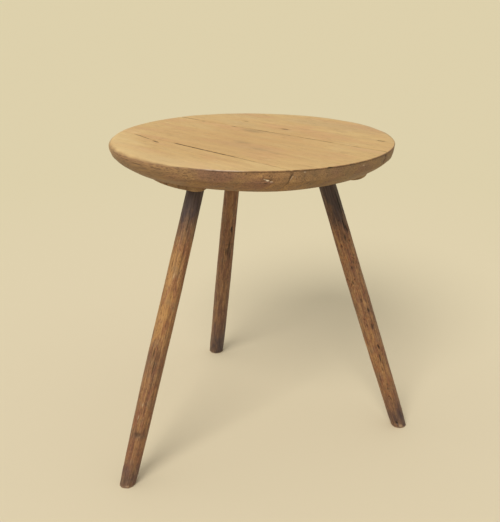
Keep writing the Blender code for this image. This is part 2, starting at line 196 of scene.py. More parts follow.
def finish_mesh(form, name, materials, to_grain, angle=35.0):
    """Turn a bmesh into a smooth-shaded mesh object with crisp corners.

    The matrix leads from the table to the log that the piece was split or sawn from: Z runs
    along the grain and starts at the pith. It is kept as a layer, which the wood's figure reads.
    """
    bmesh.ops.recalc_face_normals(form, faces=form.faces)
    grain = form.verts.layers.float_vector.new("grain")
    for vert in form.verts:
        vert[grain] = to_grain @ vert.co
    for face in form.faces:
        face.smooth = True
    for edge in form.edges:
        edge.smooth = edge.calc_face_angle(pi) < radians(angle)
    mesh = bpy.data.meshes.new(name)
    form.to_mesh(mesh)
    form.free()
    for material in materials:
        mesh.materials.append(material)
    made = bpy.data.objects.new(name, mesh)
    scene.collection.objects.link(made)
    return made


def cut(form, point, normal, faces=None, keep_all=True):
    """Cut faces of a form along a plane, and drop what lies beyond it unless all is kept.

    Return the faces that were cut or looked at, and the edges that lie in the plane.
    """
    faces = form.faces[:] if faces is None else [face for face in faces if face.is_valid]
    edges = {edge for face in faces for edge in face.edges}
    verts = {vert for face in faces for vert in face.verts}
    made = bmesh.ops.bisect_plane(form, geom=[*verts, *edges, *faces], dist=0.000001, plane_co=point,
                                  plane_no=normal, clear_outer=not keep_all)
    return ([item for item in made["geom"] if isinstance(item, bmesh.types.BMFace)],
            [item for item in made["geom_cut"] if isinstance(item, bmesh.types.BMEdge)])


def read_table(table, place):
    """Read a value at a place from a table of (place, value), with soft turns between."""
    for (low, first), (high, second) in zip(table, table[1:]):
        if place <= high:
            return first + (second - first) * ramp(low, high, place)
    return table[-1][1]


# The disc's outline as (radius, height), from the centre of the upper face round to the underside
FACE_START, FACE_STEP, UNDER_START, UNDER_STEP = 0.006, 0.0117, 0.232, 0.0225
RIM_INSETS, FOOT_INSETS = (0.018, 0.0115, 0.008, 0.006, 0.0045, 0.0032), (0.002, 0.006, 0.014)
EDGE_DEPTHS = (0.0026, 0.0034, 0.0044, 0.0056, 0.0072, 0.0095, 0.012, 0.015, 0.018, 0.0205, EDGE_UPRIGHT)
ARRIS_STEPS, BEVEL_STEPS = 5, 12
outline = [(FACE_START + FACE_STEP * step, TOP_HEIGHT) for step in range(24)]
outline += [(TOP_RADIUS - inset, TOP_HEIGHT) for inset in RIM_INSETS]
for step in range(ARRIS_STEPS + 1):
    turn = pi / 2 * step / ARRIS_STEPS
    outline.append((TOP_RADIUS - ARRIS * (1 - sin(turn)), TOP_HEIGHT - ARRIS * (1 - cos(turn))))
outline += [(TOP_RADIUS - EDGE_LEAN * depth / EDGE_UPRIGHT, TOP_HEIGHT - depth) for depth in EDGE_DEPTHS]
for step in range(1, BEVEL_STEPS + 1):
    crown = BEVEL_CROWN * sin(pi * step / BEVEL_STEPS)
    outline.append((TOP_RADIUS - EDGE_LEAN - BEVEL_WIDTH * step / BEVEL_STEPS + crown,
                    TOP_HEIGHT - EDGE_UPRIGHT - BEVEL_RISE * step / BEVEL_STEPS))
outline += [(TOP_RADIUS - EDGE_LEAN - BEVEL_WIDTH - inset, TOP_UNDERSIDE) for inset in FOOT_INSETS]
outline += [(UNDER_START - UNDER_STEP * step, TOP_UNDERSIDE) for step in range(11)]

# Each layer says how far a kind of wear, or of painted shade or light, has gone at each corner, and the
# material reads it
disc = bmesh.new()
layers = {name: disc.verts.layers.float.new(name)
          for name in ("edge", "under", "dirt", "pale", "grey", "amber", "scoured")}
turns = [tau * at / SPOKES for at in range(SPOKES)]
rings = [[disc.verts.new((radius * cos(turn), radius * sin(turn), height)) for turn in turns]
         for radius, height in outline]
join_loops(disc, rings)
disc.faces.new(rings[0])
disc.faces.new(reversed(rings[-1]))


def bearing_vector(bearing):
    """Level unit vector towards a bearing."""
    return Vector((cos(radians(bearing)), sin(radians(bearing)), 0.0))


def turn_between(bearing, other):
    """Degrees from another bearing to this one, from -180 to 180."""
    return (bearing - other + 180.0) % 360.0 - 180.0


def wear(vert, layer, value):
    """Raise a layer of wear at a corner to a value."""
    vert[layer] = max(vert[layer], value)


def seam_point(seam, along, off):
    """Point on the upper face, at a distance along a seam and off it."""
    way = bearing_vector(seam[0])
    across = seam[1] + off
    return Vector((along * way.x - across * way.y, along * way.y + across * way.x, TOP_HEIGHT))


def edge_point(bearing, depth):
    """Point on the edge or the bevel under it, at a bearing and a depth below the top."""
    lean = EDGE_LEAN * min(1.0, depth / EDGE_UPRIGHT)
    if depth > EDGE_UPRIGHT:
        run = BEVEL_SLOPE * (depth - EDGE_UPRIGHT)
        lean += run - BEVEL_CROWN * sin(pi * run / BEVEL_WIDTH)
    return bearing_vector(bearing) * (TOP_RADIUS - lean) + UPWARDS * (TOP_HEIGHT - depth)


# Cracks, knocks and scratches: start, end, half width, depth and how dark; below zero is pale.
# First come those along a seam, as (along, off), then others in the upper face, as (x, y)
MARKS = []
for seam, start, end, *rest in (
        (FRONT_SEAM, (-0.202, 0.0), (-0.155, -0.008), 0.0026, 0.0012, 0.95),
        (FRONT_SEAM, (-0.172, -0.005), (-0.126, -0.014), 0.0022, 0.001, 0.8),
        (FRONT_SEAM, (-0.138, -0.012), (-0.11, -0.016), 0.0014, 0.0006, 0.45),
        (FRONT_SEAM, (-0.118, -0.015), (-0.087, -0.021), 0.0034, 0.0018, 0.95),
        (REAR_SEAM, (-0.214, -0.005), (-0.198, -0.007), 0.0022, 0.0006, 0.6),
        (REAR_SEAM, (-0.19, -0.008), (-0.176, -0.007), 0.002, 0.0006, 0.45),
        (REAR_SEAM, (-0.117, -0.003), (-0.1, -0.003), 0.0046, 0.001, 0.85)):
    MARKS.append((seam_point(seam, *start), seam_point(seam, *end), UPWARDS, *rest))
for start, end, *rest in (
        ((0.038, 0.11), (0.059, 0.101), 0.0052, 0.0014, 0.85),
        ((0.259, 0.044), (0.278, 0.036), 0.0046, 0.0012, 0.8),
        ((0.03, 0.114), (0.067, 0.097), 0.01, 0.0, 0.16),
        ((0.253, 0.047), (0.284, 0.033), 0.007, 0.0, 0.12),
        ((-0.071, 0.177), (-0.053, 0.17), 0.0034, 0.0008, 0.5)):
    MARKS.append((Vector((*start, TOP_HEIGHT)), Vector((*end, TOP_HEIGHT)), UPWARDS, *rest))
# The split in the front edge goes on into the bevel
MARKS.append((edge_point(-61.2, 0.0215), edge_point(-62.3, 0.034),
              bearing_vector(-61.7) - UPWARDS * BEVEL_SLOPE, 0.0023, 0.0009, 0.62))
# The edge's own marks run between places given as (bearing, depth)
for start, end, *rest in (
        ((-59.4, 0.0015), (-61.3, 0.0228), 0.0023, 0.0009, 0.62),
        ((-60.9, 0.0215), (-59.9, 0.0105), 0.001, 0.0, -0.14),
        ((-59.2, 0.0095), (-58.8, 0.0175), 0.001, 0.0, -0.12),
        ((-47.3, 0.0014), (-44.7, 0.0014), 0.0018, 0.0014, 1.0),
        ((-60.4, 0.0017), (-57.3, 0.0015), 0.0013, 0.0006, 0.85),
        ((-52.4, 0.0016), (-50.1, 0.0015), 0.0012, 0.0006, 0.75),
        ((-40.2, 0.0015), (-38.6, 0.0014), 0.001, 0.0005, 0.6),
        ((-14.1, 0.0006), (-13.6, 0.0095), 0.0034, 0.001, 0.95),
        ((-13.6, 0.0095), (-15.4, 0.019), 0.0028, 0.0008, 0.7),
        ((-139.0, 0.0045), (-131.0, 0.0066), 0.001, 0.0006, 0.6),
        ((-130.5, 0.008), (-123.0, 0.0092), 0.001, 0.0006, 0.6),
        ((-124.0, 0.0099), (-115.5, 0.0104), 0.0011, 0.0006, 0.6),
        ((-113.0, 0.0102), (-106.0, 0.0112), 0.0009, 0.0004, 0.45),
        ((-56.2, 0.0056), (-55.2, 0.0056), 0.001, 0.0, -0.4),
        ((-30.8, 0.009), (-29.6, 0.0094), 0.0012, 0.0, -0.35),
        ((-75.9, 0.003), (-75.3, 0.0075), 0.0009, 0.0006, 0.7)):
    MARKS.append((edge_point(*start), edge_point(*end), bearing_vector((start[0] + end[0]) / 2), *rest))

# Each mark gets a finer mesh first, cut at these shares of its half width and of its length
CUTS_ACROSS = (-1.1, -0.75, -0.4, 0.0, 0.4, 0.75, 1.1)
CUTS_ALONG = (-0.05, 0.06, 0.18, 0.34, 0.5, 0.66, 0.82, 0.94, 1.05)
CUTS_REACH, CUTS_DEPTH = 0.02, 0.006
for start, end, out, half_width, depth, darkness in MARKS:
    out = out.normalized()
    along, across = (end - start).normalized(), (end - start).cross(out).normalized()
    length, middle = (end - start).length, (start + end) / 2
    near = [face for face in disc.faces
            if (away := face.calc_center_median() - middle).length < length / 2 + CUTS_REACH
            and abs(away.dot(out)) < CUTS_DEPTH]
    for normal, size, shares in ((across, half_width, CUTS_ACROSS), (along, length, CUTS_ALONG)):
        for share in shares:
            near = cut(disc, start + normal * (size * share), normal, near)[0]
    layer = layers["dirt" if darkness > 0 else "pale"]
    for vert in {vert for face in near for vert in face.verts}:
        offset = vert.co - start
        run = offset.dot(along) / length
        ragged = 0.5 * (wave(vert.co.x * 260, vert.co.y * 260, vert.co.z * 260, 17) - 0.5)
        taper = hypot(offset.dot(across) / half_width, abs(2 * run - 1) ** 1.6)
        hole = ramp(1.1, 0.4, taper + ragged) * ramp(0.0025, 0.0012, abs(offset.dot(out)))
        vert.co -= out * (depth * hole)
        wear(vert, layer, abs(darkness) * hole)

# A splinter is lost from the front edge, at this bearing and depth. Fresh wood shows in it as ragged pale
# flecks, with painted shade as dark flecks beneath it and a little above to its right:
# across, up, half width, half height, how pale (below zero, how dark)
CHIP_POINT = edge_point(-68.4, 0.0188)
CHIP_SIDE = UPWARDS.cross(bearing_vector(-68.6))
CHIP_FLECKS = ((-0.006, 0.0026, 0.0022, 0.0009, 0.6), (-0.0034, 0.0013, 0.0026, 0.0008, 0.5),
               (0.0002, -0.0002, 0.003, 0.0015, 1.0), (0.0066, -0.0022, 0.0026, 0.001, 0.4),
               (-0.004, -0.005, 0.004, 0.0013, -0.7), (0.003, 0.0088, 0.0018, 0.0016, -0.6),
               (0.0044, 0.0008, 0.0016, 0.001, -0.7))
CHIP_WIDTH, CHIP_HEIGHT, CHIP_DEPTH = 0.011, 0.0045, 0.0022
CUTS_STEP, CHIP_CUTS, CHIP_REACH = 0.0008, 0.014, 0.016
near = [face for face in disc.faces if any((vert.co - CHIP_POINT).length < CHIP_CUTS for vert in face.verts)]
for normal, count in ((CHIP_SIDE, 14), (UPWARDS, 13)):
    for step in range(-count, count + 1):
        near = cut(disc, CHIP_POINT + normal * (CUTS_STEP * step), normal, near)[0]

# Wear on the whole disc, all inwards: hollows in the face, tool facets on the edge and bevel,
# the splinter, and an arris that is crisp in front and rubbed round on the left. Only the bevel
# in front is fuller. Grey stains: x, y, half length along STAIN_WAY, half width, strength
STAIN_WAY = bearing_vector(-24.0)
STAINS = ((-0.016, 0.062, 0.042, 0.016, 1.0), (-0.002, -0.061, 0.034, 0.012, 0.9),
          (0.05, -0.116, 0.03, 0.008, 0.7), (0.088, -0.14, 0.02, 0.007, 0.6))
LEFT, FAR_LEFT, RUBBED_REACH = 205.0, 190.0, 0.016
FULL_BEARING, FULL_BREADTH, FULL_DROP, FULL_SWELL = -64.0, 17.0, 0.0012, 0.003
FACE_DEPTH = 0.004  # the upper face is what lies less than this below the top
disc.normal_update()
moves = []
for vert in disc.verts:
    x, y, z = vert.co
    radius = max(0.001, hypot(x, y))
    bearing = degrees(atan2(y, x))
    depth, inset = TOP_HEIGHT - z, TOP_RADIUS - radius
    outwards = Vector((x / radius, y / radius, 0.0))
    inward = Vector((0.0, 0.0, 0.0))
    # The face is hollowed by up to 0.9 mm. The arris has lost half a millimetre, and 4 mm on the left
    if depth < FACE_DEPTH:
        inward.z -= wave(x * 5, y * 5, 0, 1) * 0.0006 + wave(x * 16, y * 16, 0, 2) * 0.0003
    left = ramp(75.0, 25.0, abs(turn_between(bearing, LEFT)))
    softness = 0.0012 * wave(bearing * 0.09, 0, 0, 3) * wave(bearing * 0.6, 0, 0, 4)
    softness += 0.0002 + 0.0042 * left
    if max(depth, inset) < RUBBED_REACH:
        corner = exp(-((inset + depth) / (0.005 + 0.0015 * left)) ** 2)
        inward -= (UPWARDS + 0.6 * outwards) * softness * corner
    full = exp(-((bearing - FULL_BEARING) / FULL_BREADTH) ** 2)
    # The tools left facets of half a millimetre, and rounded the line where the bevel begins
    if 0.003 < depth < TOP_HEIGHT - TOP_UNDERSIDE - 0.001:
        arc = radians(bearing) * TOP_RADIUS
        low = ramp(0.019, 0.028, depth)
        facet = (wave(arc * 26, z * 40, 0, 5) + wave(arc * 9, z * 12, 0, 6)) * (0.0003 + 0.0002 * low)
        facet += (0.0018 + 0.0012 * left) * exp(-((depth - EDGE_UPRIGHT) / 0.006) ** 2)
        inward -= outwards * facet
        full *= ramp(0.026, 0.046, depth)
    else:
        full *= ramp(0.235, 0.262, radius) if depth > FACE_DEPTH else 0.0
    inward += full * (FULL_SWELL * outwards - FULL_DROP * UPWARDS)
    offset = vert.co - CHIP_POINT
    if offset.length < CHIP_REACH:
        side, rise = offset.dot(CHIP_SIDE), offset.z
        ragged = 0.6 * (wave(side * 700, rise * 700, 0, 8) - 0.5)
        for fleck_side, fleck_rise, half_width, half_height, strength in CHIP_FLECKS:
            share = hypot((side - fleck_side) / half_width, (rise - fleck_rise) / half_height)
            layer = layers["pale" if strength > 0 else "dirt"]
            wear(vert, layer, abs(strength) * ramp(1.25, 0.6, share + ragged))
        bowl = ramp(1.0, 0.3, hypot(side / CHIP_WIDTH, (rise + 0.3 * side) / CHIP_HEIGHT))
        inward -= outwards * (CHIP_DEPTH * bowl)
        # The splinter's hollow is painted darker, as shade
        wear(vert, layers["dirt"], 0.25 * bowl)
    if inset < 0.01 and depth < 0.008:
        # A thin dark line under the crisp arris is partly dirt and partly painted shadow, and the arris is
        # rubbed pale here and there, partly as a painted highlight
        crisp = ramp(-95.0, -80.0, bearing) * ramp(10.0, -12.0, bearing)
        line = exp(-((depth - 0.0022) / 0.0011) ** 2) * crisp
        wear(vert, layers["dirt"], line * (0.4 + 0.55 * wave(bearing * 0.35, 0, 0, 14)))
        rub_and_painted_light = ramp(0.0016, 0.0004, depth) * ramp(0.003, 0.0016, inset)
        rub_and_painted_light *= ramp(-94.0, -86.0, bearing) * ramp(-74.0, -79.0, bearing)
        wear(vert, layers["pale"], (0.12 + 0.5 * wave(bearing * 0.7, 0, 0, 15)) * rub_and_painted_light)
        # Behind, the arris holds a little dirt
        behind = ramp(5.0, 25.0, bearing) * ramp(178.0, 150.0, bearing)
        wear(vert, layers["dirt"], 0.34 * behind * ramp(0.0055, 0.0015, inset))
    # The middle is ambered by use, and the left rim is paler, partly scoured and partly painted light. The
    # right of the edge has gone grey, and so has the face where damp things stood
    vert[layers["amber"]] = ramp(0.25, 0.05, hypot(x + 0.01, (y + 0.03) * 0.9))
    vert[layers["scoured"]] = ramp(0.215, 0.275, radius) * ramp(75.0, 30.0, abs(bearing + 128.0))
    if depth > 0.002:
        vert[layers["grey"]] = 0.9 * ramp(-72.0, -48.0, bearing) * ramp(30.0, 10.0, bearing)
    for stain_x, stain_y, long, wide, strength in STAINS if depth < FACE_DEPTH else ():
        along_stain = ((x - stain_x) * STAIN_WAY.x + (y - stain_y) * STAIN_WAY.y) / long
        across_stain = ((y - stain_y) * STAIN_WAY.x - (x - stain_x) * STAIN_WAY.y) / wide
        stain = strength * ramp(1.1, 0.2, hypot(along_stain, across_stain))
        wear(vert, layers["grey"], stain)
    # The edge's colour begins at the crisp arris, but already on the rim of the face on the left,
    # where the arris is rubbed round
    far_left = ramp(40.0, 12.0, abs(turn_between(bearing, FAR_LEFT)))
    edge_start = -0.002 - 0.0095 * left * (0.6 + 0.8 * wave(bearing * 0.2, 0, 0, 16))
    past_arris = depth if depth > 0.002 else depth - inset
    edged = ramp(edge_start, edge_start + 0.0014 + 0.0115 * left, past_arris)
    edged *= 1 - 0.4 * far_left * ramp(0.03, 0.01, depth)
    vert[layers["edge"]] = edged if vert.normal.z > -0.97 else 1.0
    vert[layers["under"]] = 1.0 if vert.normal.z < -0.97 else 0.0
    moves.append((vert, inward))
for vert, inward in moves:
    vert.co += inward
disc_mesh = bpy.data.meshes.new("round top")
disc.to_mesh(disc_mesh)
disc.free()

# Scrubbed oak boards, waxed once and then washed for years: dry, pale and honey coloured on
# top, with the grain a little raised, and browner with handling on the edge and underneath
PORE_WIDTH = 0.0022  # the open pores are 0.3 mm wide; drawn coarser, so that they show


def wood_figure(tree, place, ring_width, fibre_width, streak_width):
    """Lay out solid wood with Z along its grain: sockets for year rings, fibres and streaks.

    Widths are in metres. Fibres are drawn about four times too wide, so that they show.
    """
    stretched, flat = [add_node(tree, "VectorMath", {0: place, 1: (1.0, 1.0, squeeze)},
                                operation="MULTIPLY").outputs[0] for squeeze in (0.04, 0.0)]
    # A slow noise bends the rings by up to 17 mm, as the trunk was bent
    slow = add_node(tree, "TexNoise", {"Vector": stretched, "Scale": 14.0, "Detail": 2.0})
    sway = add_node(tree, "VectorMath", {0: slow.outputs["Color"], 1: (0.5, 0.5, 0.5)},
                    operation="SUBTRACT")
    bent = add_node(tree, "VectorMath", {0: sway.outputs[0], 1: (0.035, 0.035, 0.035), 2: flat},
                    operation="MULTIPLY_ADD")
    off_pith = add_node(tree, "VectorMath", {0: bent.outputs[0]}, operation="LENGTH")
    years = add_node(tree, "Math", {0: off_pith.outputs["Value"], 1: ring_width}, operation="DIVIDE")
    year = add_node(tree, "Math", {0: years.outputs[0]}, operation="FRACT")
    rings = add_node(tree, "ValToRGB", {"Fac": year.outputs[0]},
                     stops=((0.0, 0.0), (0.55, 0.25), (0.86, 1.0), (1.0, 0.0)))
    fibres, streaks = [
        add_node(tree, "TexNoise", {"Vector": stretched, "Scale": 1 / width, "Detail": detail,
                                    "Roughness": roughness}).outputs["Fac"]
        for width, detail, roughness in ((fibre_width, 3.0, 0.6), (streak_width, 4.0, 0.55))]
    return rings.outputs["Color"], fibres, streaks


def lay_over(tree, colour, *coats):
    """Lay colours over another, each where a pattern or a layer of wear, painted shade or painted light goes
    from low to high.
    """
    for over, where, low, high, strength in coats:
        if isinstance(where, str):
            where = add_node(tree, "Attribute", attribute_name=where).outputs["Fac"]
        share = add_node(tree, "MapRange", {"Value": where, "From Min": low, "From Max": high,
                                            "To Max": strength}).outputs["Result"]
        colour, over = [linear(code) if isinstance(code, str) else code for code in (colour, over)]
        colour = add_node(tree, "Mix", {0: share, 6: colour, 7: over}, data_type="RGBA").outputs[2]
    return colour


def dress(tree, shader, colour, sheen_from, sheen_range, raised, sunk, bump_strength, bump_depth):
    """Finish a wood: its colour, its roughness from a pattern, and its raised grain and sunk pores."""
    tree.links.new(colour, shader.inputs["Base Color"])
    rough = add_node(tree, "MapRange", {"Value": sheen_from, "From Min": 0.3, "From Max": 0.7,
                                        "To Min": sheen_range[0], "To Max": sheen_range[1]})
    tree.links.new(rough.outputs["Result"], shader.inputs["Roughness"])
    relief = add_node(tree, "Math", {0: sunk, 1: -1.4, 2: raised}, operation="MULTIPLY_ADD")
    bump = add_node(tree, "Bump", {"Height": relief.outputs[0], "Strength": bump_strength,
                                   "Distance": bump_depth})
    tree.links.new(bump.outputs[0], shader.inputs["Normal"])


scrubbed_oak, tree, shader = new_material("scrubbed oak", {"IOR": 1.5, "Specular IOR Level": 0.35})
place = add_node(tree, "Attribute", attribute_name="grain").outputs["Vector"]
year_rings, fibres, streaks = wood_figure(
    tree, place, ring_width=0.0042, fibre_width=0.0014, streak_width=0.016)
# Stains of 45 and 90 mm and patches of 13 mm run a little along the grain, and pores further.
# Each pattern: where it reads, its scale, detail and roughness
along_grain, along_pores = [
    add_node(tree, "VectorMath", {0: place, 1: (1.0, 1.0, squeeze)}, operation="MULTIPLY").outputs[0]
    for squeeze in (0.3, 0.09)]
blush, patches, pores = [
    add_node(tree, "TexNoise",
             {"Vector": vector, "Scale": scale, "Detail": detail, "Roughness": roughness}).outputs["Fac"]
    for vector, scale, detail, roughness in (
        (along_grain, 22.0, 4.0, 0.5), (along_grain, 75.0, 5.0, 0.65),
        (along_pores, 1 / PORE_WIDTH, 2.0, 0.5))]
tint = add_node(tree, "TexNoise", {"Vector": along_grain, "Scale": 11.0, "Detail": 3.0, "W": 3.0},
                noise_dimensions="4D").outputs["Fac"]
face, edge = [
    add_node(tree, "ValToRGB", {"Fac": streaks}, stops=stops).outputs["Color"] for stops in (
        ((0.3, "#CBA56C"), (0.45, "#D1AB71"), (0.58, "#D6B175"), (0.72, "#DDBA7E")),
        ((0.3, "#80603C"), (0.46, "#9B744B"), (0.58, "#AA7F51"), (0.75, "#B78F5C")))]
face = lay_over(
    tree, face, ("#C09763", year_rings, 0.2, 1.0, 0.12), ("#D09A70", blush, 0.5, 0.66, 0.42),
    ("#D8BA80", blush, 0.48, 0.34, 0.45), ("#BFA174", tint, 0.54, 0.66, 0.45),
    ("#B48D60", patches, 0.54, 0.7, 0.4), ("#E2C392", patches, 0.44, 0.3, 0.4),
    ("#A88254", fibres, 0.4, 0.75, 0.22), ("#8C6A44", pores, 0.6, 0.7, 0.45),
    ("#C2925A", "amber", 0.0, 1.0, 0.3), ("#E8C88E", "scoured", 0.0, 1.0, 0.38),
    ("#988058", "grey", 0.0, 1.0, 0.6))
edge = lay_over(
    tree, edge, ("#86594A", blush, 0.49, 0.6, 0.65), ("#827552", tint, 0.5, 0.62, 0.22),
    ("#7E7052", "grey", 0.0, 1.0, 0.42), ("#5F4436", fibres, 0.42, 0.64, 0.62),
    ("#B38A5D", patches, 0.54, 0.7, 0.28), ("#5C4334", patches, 0.46, 0.31, 0.3),
    ("#432F25", pores, 0.57, 0.66, 0.55))
under = lay_over(
    tree, "#8A6D4F", ("#5C4634", fibres, 0.38, 0.66, 0.7), ("#4F3B2B", streaks, 0.5, 0.72, 0.55),
    ("#9A7E5E", patches, 0.52, 0.68, 0.45))
# The dirt layer also holds painted shade, under the front arris and round the splinter, and the pale layer
# holds a painted highlight on the front arris
colour = lay_over(
    tree, face, (edge, "edge", 0.0, 1.0, 1.0), (under, "under", 0.0, 1.0, 1.0),
    ("#33210F", "dirt", 0.0, 1.0, 0.95), ("#F4DFC4", "pale", 0.0, 1.0, 1.0))
dress(tree, shader, colour, streaks, (0.5, 0.66), fibres, pores, bump_strength=0.6, bump_depth=0.0005)

# Each board: node, the seams that bound it with the side that it keeps, its grain's angle,
# and how far its pith lay across the board and below its upper face
BOARDS = (("top_board_front", ((FRONT_SEAM, -1),), FRONT_SEAM[0], -0.235, 0.085),
          ("top_board_middle", ((FRONT_SEAM, 1), (REAR_SEAM, -1)), GRAIN_ANGLE, -0.02, 0.12),
          ("top_board_rear", ((REAR_SEAM, 1),), REAR_SEAM[0], 0.26, 0.07))
HALF_SEAM, SEAM_EASE, SEAM_REACH = 0.00015, 0.005, 0.0095
SEAM_CUTS = (0.0008, 0.0018, 0.0032, 0.0055, 0.009)
# How plainly each seam shows along its length, from the dirt in it
SEAM_SHOWS = {
    FRONT_SEAM: ((-0.26, 0.0), (-0.205, 0.05), (-0.06, 0.08), (-0.053, 1.0), (0.115, 1.0), (0.14, 0.5),
                 (0.19, 0.4), (0.26, 0.3)),
    REAR_SEAM: ((-0.295, 1.0), (-0.23, 0.9), (-0.212, 0.2), (-0.12, 0.15), (-0.105, 0.5), (-0.06, 0.6),
                (-0.03, 1.0), (0.045, 1.0), (0.06, 0.35), (0.085, 0.9), (0.15, 0.9), (0.17, 0.45),
                (0.21, 0.5), (0.225, 0.85), (0.295, 0.9)),
}


def seam_gap(seam, along):
    """How far the seam stands open at the upper face."""
    if seam is FRONT_SEAM:
        open_part = ramp(-0.072, -0.05, along) * ramp(0.15, 0.06, along)
        return 0.0002 + open_part * (0.0009 + 0.0014 * ramp(0.35, 0.65, wave(along * 75, 0, 0, 11)))
    return 0.0002 + 0.0005 * ramp(-0.05, 0.0, along) * ramp(0.19, 0.12, along)


for name, seams, grain, pith_across, pith_below in BOARDS:
    form = bmesh.new()
    form.from_mesh(disc_mesh)
    dirt = form.verts.layers.float["dirt"]
    for seam, side in seams:
        way = bearing_vector(seam[0])
        across = Vector((-way.y, way.x, 0.0))
        edges = cut(form, across * (seam[1] + side * HALF_SEAM), across * -side, keep_all=False)[1]
        bmesh.ops.holes_fill(form, edges=edges, sides=0)
        for off in SEAM_CUTS:
            upper = [face for face in form.faces if face.calc_center_median().z > TOP_UNDERSIDE + 0.002
                     and abs(face.calc_center_median().dot(across) - seam[1]) < 0.03]
            cut(form, across * (seam[1] + side * off), across, upper)
    for seam, side in seams:
        way = bearing_vector(seam[0])
        across = Vector((-way.y, way.x, 0.0))
        for vert in form.verts:
            along, off = vert.co.dot(way), side * (vert.co.dot(across) - seam[1])
            if off > 0.01:
                continue
            near = max(0.0, 1 - off / SEAM_REACH)
            gap = seam_gap(seam, along)
            depth = TOP_HEIGHT - vert.co.z
            high = ramp(0.045, 0.0, depth)
            vert.co += across * side * gap / 2 * near * (0.4 + 0.6 * high)
            if depth < FACE_DEPTH:
                ease = 0.0005 + 0.0006 * wave(along * 22, 0, 0, 12) + gap * 0.25
                vert.co.z -= ease * max(0.0, 1 - off / SEAM_EASE) ** 2
            # Dirt fills the open gap, and draws a line along the seam elsewhere
            wear(vert, dirt, ramp(0.0024, 0.0002, off) * min(1.0, gap / 0.0018))
            shown = 0.9 * read_table(SEAM_SHOWS[seam], along) if depth < 0.0015 else 0.15
            shown *= 0.55 + 0.45 * ramp(0.38, 0.6, wave(along * 60, 0, 0, 13))
            wear(vert, dirt, ramp(0.0026 if depth < 0.0015 else 0.0012, 0.0002, off) * shown)
    bmesh.ops.translate(form, verts=form.verts, vec=TOP_PLACE)
    way = bearing_vector(grain)
    board_axes = Matrix(((-way.y, way.x, 0.0), (0.0, 0.0, 1.0), way))
    pith = Vector((pith_across, TOP_HEIGHT - pith_below, 0.0))
    to_grain = Matrix.Translation(-pith) @ board_axes.to_4x4() @ Matrix.Translation(-TOP_PLACE)
    board = finish_mesh(form, name.replace("top_board", "scrubbed_board"), [scrubbed_oak], to_grain)
    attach(board, "root")
    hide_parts(name)


# The legs are riven oak, shaved round with a drawknife, so each has long flats and a slight
# belly. Each goes through its batten as a round tenon, which a wedge spreads from above.
BATTEN_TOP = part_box("long_batten")[1].z
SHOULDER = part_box("long_batten")[0].z - 0.0003
TENON_RADIUS = 0.013
LEG_RINGS, LEG_SIDES, LEG_FLATS = 260, 120, 9
FLAT_SHARE, FLAT_CHANGE = 0.955, 0.034  # how near the axis the flats lie, as a share of the radius
FOOT_RINGS, FOOT_SOFT = (0.0, 0.0006, 0.0016), 0.003  # the foot's edge is soft over 3 mm
# Each leg: axis at the shoulder and at the floor from the top's centre, radii at the foot,
# belly and top, wedge direction, and the number that sets its facets apart
LEGS = (("left", (-0.0592, -0.1863), (-0.1717, -0.334), (0.017, 0.019, 0.0168), (1.0, 0.0, 0.0), 21),
        ("right", (0.1616, -0.0117), (0.359, 0.05), (0.0172, 0.0197, 0.0176), (0.0, 1.0, 0.0), 22),
        ("back", (-0.0728, 0.1138), (-0.1813, 0.2746), (0.0196, 0.0196, 0.017), (1.0, 0.0, 0.0), 23))
# Green oak bends as it dries: how far each leg's axis bows along BOW_WAY, by height
BOW_WAY = Vector((0.961, 0.277, 0.0))
BOW = {"left": ((0.0, 0.0), (0.22, 0.0), (0.42, 0.0011), (0.62, 0.0012)),
       "right": ((0.0, 0.0), (0.06, 0.0), (0.2, -0.0008), (0.42, -0.0009), (0.52, 0.0), (0.62, 0.0)),
       "back": ((0.0, 0.0006), (0.12, 0.001), (0.62, 0.0011))}
# How thick old wax and soot lie up each leg, by height, with painted shade under the top and along the back
# leg, which stands in shade; and how golden its left-front side is, partly worn and partly painted light:
# the left leg in its middle, and the right one a little
SOOT_AND_SHADE = {
    "left": ((0.0, 0.64), (0.035, 0.62), (0.065, 0.16), (0.1, 0.18), (0.12, 0.36), (0.14, 0.1), (0.24, 0.16),
             (0.28, 0.28), (0.32, 0.06), (0.36, 0.0), (0.5, 0.05), (0.54, 0.55), (0.575, 1.05), (0.6, 1.35)),
    "right": ((0.0, 0.58), (0.03, 0.66), (0.06, 0.36), (0.12, 0.12), (0.24, 0.14), (0.3, 0.24), (0.4, 0.22),
              (0.45, 0.14), (0.49, 0.26), (0.54, 0.7), (0.58, 1.05), (0.62, 1.2)),
    "back": ((0.0, 0.85), (0.05, 0.8), (0.08, 0.6), (0.14, 0.4), (0.33, 0.3), (0.42, 0.26), (0.5, 0.24),
             (0.56, 0.3), (0.62, 0.45)),
}
SIDE_SHADE = {"left": 0.0, "right": 0.4, "back": 0.25}  # painted shade: how much darker each leg is made towards its right, the side in shade
GOLD = {"left": ((0.0, 0.0), (0.28, 0.0), (0.34, 0.6), (0.49, 0.5), (0.53, 0.0)),
        "right": ((0.0, 0.0), (0.12, 0.0), (0.16, 0.2), (0.24, 0.2), (0.3, 0.0), (0.38, 0.05), (0.43, 0.0)),
        "back": ((0.0, 0.0), (0.1, 0.0))}
# How much worm and knocks have pitted each leg
PITTED = {"left": 0.0, "right": 1.0, "back": 0.0}
